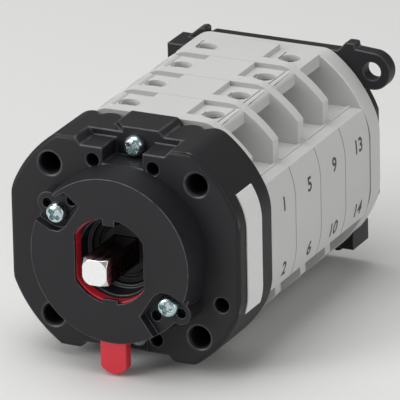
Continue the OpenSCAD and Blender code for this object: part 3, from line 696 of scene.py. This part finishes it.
def flat_digits(text):
    """The digits as a thin flat mesh in x and y, cut into strips."""
    curve = bpy.data.curves.new("digits", "FONT")
    curve.body = text
    curve.size = DIGIT_HEIGHT / DIGIT_SHARE
    curve.align_x = "CENTER"
    curve.align_y = "CENTER"
    curve.extrude = INK_HALF_THICKNESS
    curve.offset = INK_SPREAD
    flat = bpy.data.objects.new("digits", curve)
    mesh = bpy.data.meshes.new_from_object(flat)
    bpy.data.objects.remove(flat)
    work = bmesh.new()
    work.from_mesh(mesh)
    for level in STRIP_EDGES:
        everything = list(work.verts) + list(work.edges) + list(work.faces)
        bmesh.ops.bisect_plane(work, geom=everything, plane_co=(0, level, 0), plane_no=(0, 1, 0))
    work.to_mesh(mesh)
    work.free()
    return mesh


def numeral(text, y, z, side):
    """Prints text on one side of the blocks, centred at depth y and height z."""
    mesh = flat_digits(text)
    flat_points = np.empty(len(mesh.vertices) * 3)
    mesh.vertices.foreach_get("co", flat_points)
    u, v, w = flat_points.reshape(-1, 3).T
    u = (u - (u.min() + u.max()) / 2) * side
    height = z + v - (v.min() + v.max()) / 2
    points = np.column_stack([side * (side_x(height) + INK_LIFT + w), y + u, height])
    mesh.vertices.foreach_set("co", points.ravel())
    mesh.update()
    mesh.materials.clear()
    mesh.materials.append(INK)
    piece = new_object("numeral_" + text, mesh)
    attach(piece, "housing")


UPPER, LOWER, ALONG = 6.4 * MM, -9.0 * MM, 7.6 * MM
for k, front in enumerate(block_front):
    numeral(str(4 * k + 1), front + ALONG, UPPER, 1)
    numeral(str(4 * k + 2), front + ALONG, LOWER, 1)
    numeral(str(4 * k + 3), front + ALONG, UPPER, -1)
    numeral(str(4 * k + 4), front + ALONG, LOWER, -1)
print("numerals 1 to", 4 * STAGES)

# %% [markdown]
# ## Floor and backdrop
#
# A pale sheet that runs from the floor into a backdrop without an edge.

# %% Stage
FLOOR_GAP = 0.5 * MM  # between the object's lowest point and the floor


def sweep_sheet():
    """A strip along X: flat floor, then a quarter circle of 0.5 m radius, then a wall."""
    low = lowest[2] - FLOOR_GAP
    radius, wall, near, far = 0.5, 2.0, -3.0, 1.2
    turn = np.linspace(0, math.pi / 2, 24)
    y = np.concatenate([[near], far + radius * np.sin(turn), [far + radius]])
    z = np.concatenate([[low], low + radius * (1 - np.cos(turn)), [low + wall]])
    x = np.array([-4.0, 4.0])
    points = np.array([(a, b, c) for b, c in zip(y, z) for a in x])
    faces = [(2 * i, 2 * i + 1, 2 * i + 3, 2 * i + 2) for i in range(len(y) - 1)]
    mesh = bpy.data.meshes.new("sheet")
    mesh.from_pydata(points.tolist(), [], faces)
    shade_smooth(mesh)
    return new_object("sheet", mesh)


sheet = sweep_sheet()
paper, _, paper_shader = new_material("paper")
paper_shader.inputs["Base Color"].default_value = (0.78, 0.78, 0.77, 1.0)
paper_shader.inputs["Roughness"].default_value = 0.9
sheet.data.materials.append(paper)
print("floor at", round((lowest[2] - FLOOR_GAP) / MM, 2), "mm")

# %% [markdown]
# ## Light
#
# Large soft lamps: one above, one from the left front and a weaker one from the right. A pale world
# fills the shadows.

# %% Lamps
AIM = Vector((0.0, -0.045, 0.0))  # about the middle of the object


def lamp(name, place, size, power):
    """An area lamp at a place in metres that faces the middle of the object."""
    data = bpy.data.lights.new(name, "AREA")
    data.shape = "RECTANGLE"
    data.size, data.size_y = size
    data.energy = power
    made = new_object(name, data)
    made.location = place
    made.rotation_euler = (AIM - Vector(place)).to_track_quat("-Z", "Y").to_euler()


lamp("above", (-0.15, -0.1, 0.75), (0.7, 0.7), 3.8)
lamp("left_front", (-0.55, -0.75, 0.35), (0.5, 0.5), 4.3)
lamp("right", (0.8, -0.25, 0.25), (0.5, 0.6), 1.2)
world = bpy.data.worlds.new("studio")
world.use_nodes = True
world.node_tree.nodes["Background"].inputs["Color"].default_value = (1.0, 1.0, 1.0, 1.0)
world.node_tree.nodes["Background"].inputs["Strength"].default_value = 0.3
bpy.context.scene.world = world
print("lamps:", len(bpy.data.lights))

# %% [markdown]
# ## Camera
#
# The photograph was taken from the right front, 26 degrees round and 21 degrees up, through a long
# lens. The camera's place is worked out from those angles, its distance and the image point at
# which the shaft axis meets the housing's front face.

# %% Camera
AZIMUTH, ELEVATION, ROLL = map(math.radians, (25.95, 20.91, -1.19))
DISTANCE, FOCAL_PX, FRAME_PX = 1.5, 6784.4, 400
AXIS_PX = (124.33, 250.29)
SENSOR = 36.0
HOUSING_DEPTH = 17.0 * MM
front_centre = np.array([0.0, block_front[0] - HOUSING_DEPTH, 0.0])


def place_camera():
    """Right, up and back vectors from the angles, rolled about the view axis, then the offset."""
    level = math.cos(ELEVATION)
    back = np.array([math.sin(AZIMUTH) * level, -math.cos(AZIMUTH) * level, math.sin(ELEVATION)])
    right = np.array([math.cos(AZIMUTH), math.sin(AZIMUTH), 0.0])
    up = np.cross(back, right)
    c, s = math.cos(ROLL), math.sin(ROLL)
    right, up = c * right + s * up, c * up - s * right
    shift_x = (AXIS_PX[0] - FRAME_PX / 2) / FOCAL_PX * DISTANCE
    shift_y = -(AXIS_PX[1] - FRAME_PX / 2) / FOCAL_PX * DISTANCE
    eye = front_centre - shift_x * right - shift_y * up + DISTANCE * back
    data = bpy.data.cameras.new("camera")
    data.sensor_width = SENSOR
    data.lens = FOCAL_PX / FRAME_PX * SENSOR
    data.clip_end = 20.0
    made = new_object("camera", data)
    matrix = np.eye(4)
    matrix[:3, 0], matrix[:3, 1], matrix[:3, 2], matrix[:3, 3] = right, up, back, eye
    made.matrix_world = Matrix(matrix.tolist())
    bpy.context.scene.camera = made
    print("camera at", np.round(eye, 3), "m, lens", round(data.lens), "mm")


place_camera()
bpy.context.scene.view_settings.view_transform = "Standard"

# %% Finish
bpy.context.view_layer.update()
